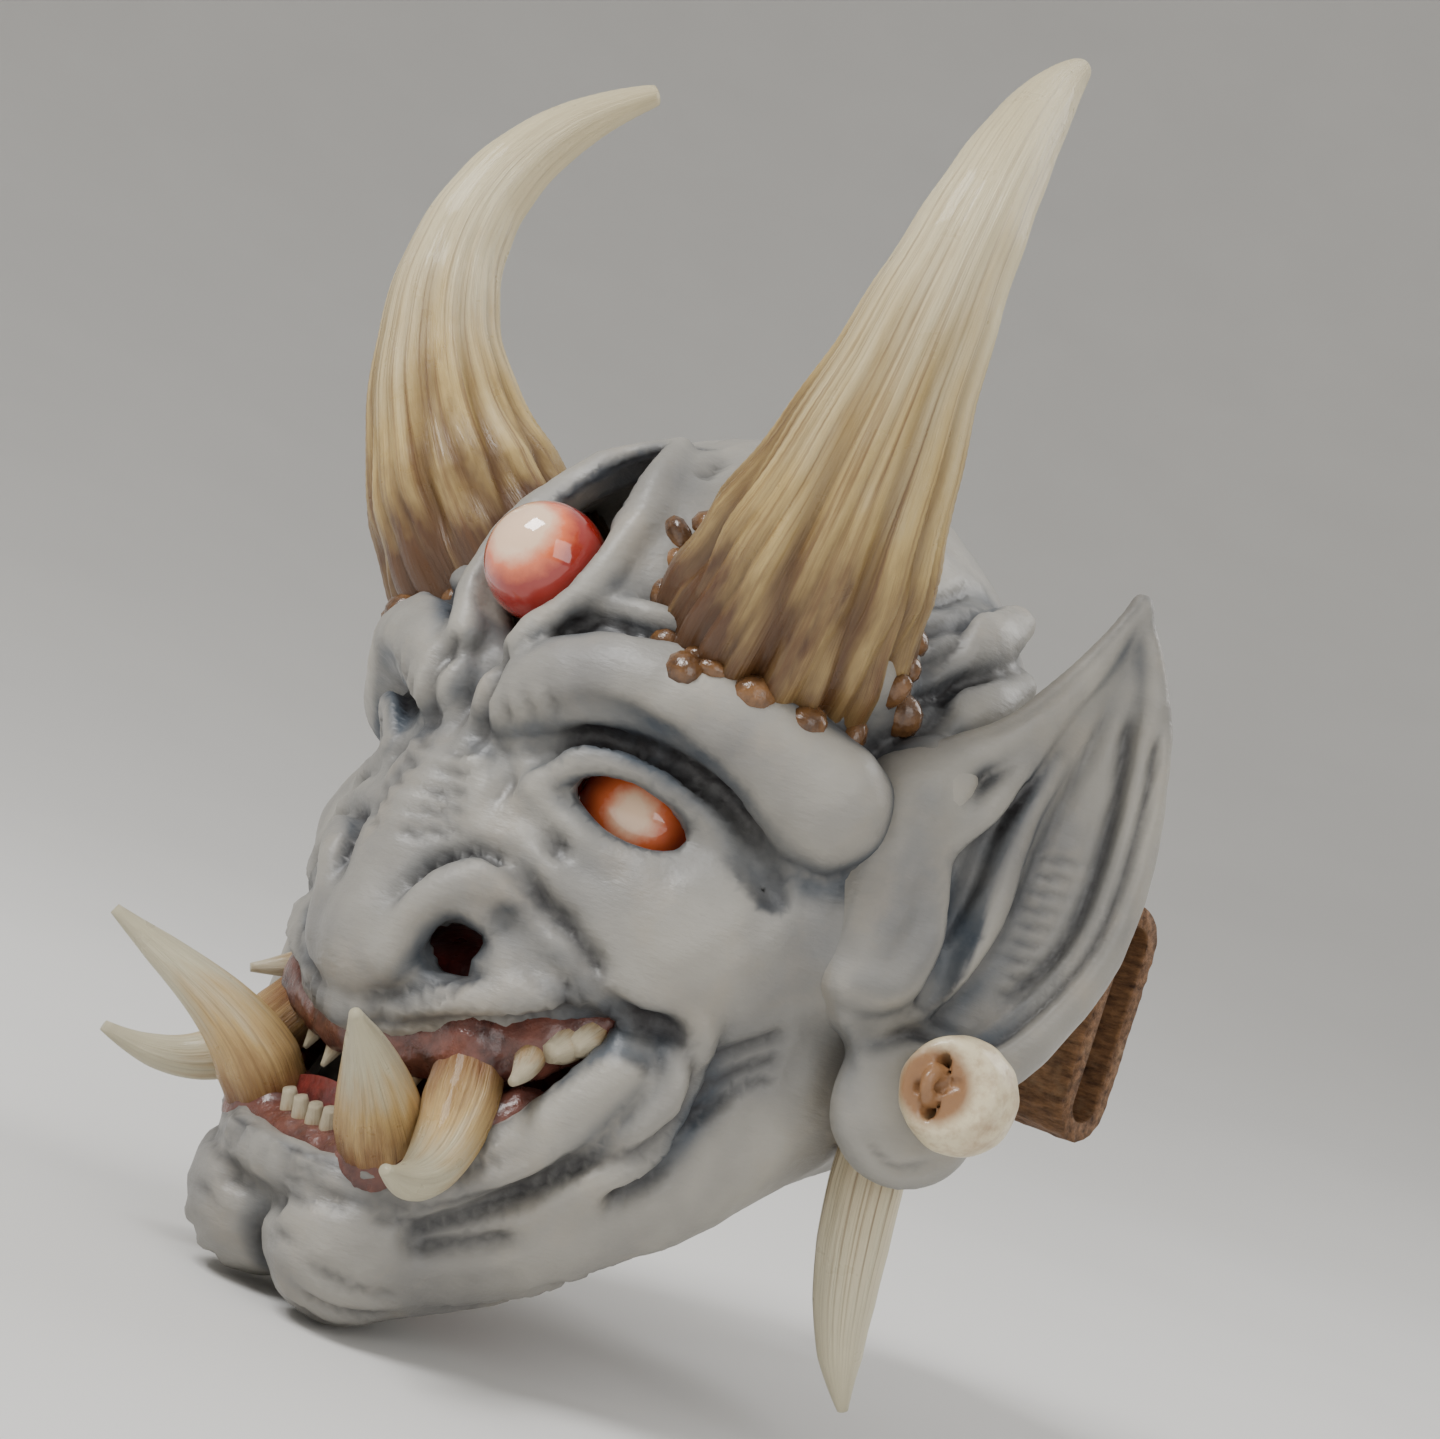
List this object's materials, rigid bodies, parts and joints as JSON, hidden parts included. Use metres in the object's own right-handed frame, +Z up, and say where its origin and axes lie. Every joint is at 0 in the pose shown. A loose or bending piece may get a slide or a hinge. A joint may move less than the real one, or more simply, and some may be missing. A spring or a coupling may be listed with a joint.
{
  "type": "horned demon mask",
  "caption": "Small horned demon mask head with a third eye, curved mouth tusks, swinging ear tusks and a rear strap sleeve that holds it on a belt or flat wall.",
  "frame": {"origin": "centre of the flat back face of the strap sleeve", "axes": "+Z up through the crown, +Y backwards out of the sleeve's flat back (the face looks along -Y), +X the mask's own left"},
  "size_m": [0.1112, 0.115, 0.151],
  "materials": {
    "skin": "satin cast resin, airbrushed grey with dark washed creases",
    "horn": "satin cast resin, ivory tips shading to ochre and brown roots",
    "ivory": "semi-gloss cast resin, cream shading to brown roots",
    "eye": "high gloss orange with pale centre",
    "gum": "semi-gloss dark brown",
    "mouth": "satin dark red",
    "tongue": "wet-look dark red",
    "bark": "rough brown, leather-like cast texture",
    "steel": "plain ground dowel"
  },
  "bodies": {
    "mask": {"head_shell": "skin", "left_ear": "skin", "right_ear": "skin", "left_horn": "horn", "right_horn": "horn", "horn_dowels": "steel", "ear_pins": "steel", "sleeve_pins": "steel", "left_eyeball": "eye", "right_eyeball": "eye", "third_eyeball": "eye", "mouth_lining": "mouth", "tongue": "tongue", "upper_gum": "gum", "lower_gum": "gum", "lower_left_tusk": "ivory", "lower_right_tusk": "ivory", "upper_left_tusk": "ivory", "upper_right_tusk": "ivory", "left_canine": "ivory", "right_canine": "ivory", "upper_gum_spikes": "gum", "lower_front_teeth": "ivory", "left_molars": "ivory", "right_molars": "ivory", "strap_sleeve": "bark"},
    "left_hanging_tusk": {"left_ear_tusk": "ivory", "left_root_knob": "ivory"},
    "right_hanging_tusk": {"right_ear_tusk": "ivory", "right_root_knob": "ivory"}
  },
  "joints": [
    {"name": "left_tusk_swing", "type": "hinge", "parent": "mask", "child": "left_hanging_tusk", "pos_m": [0.04407, -0.0588, -0.014], "axis": [0.866, -0.5, 0], "range_deg": [-15, 15]},
    {"name": "right_tusk_swing", "type": "hinge", "parent": "mask", "child": "right_hanging_tusk", "pos_m": [-0.04407, -0.0588, -0.014], "axis": [-0.866, -0.5, 0], "range_deg": [-15, 15]}
  ]
}
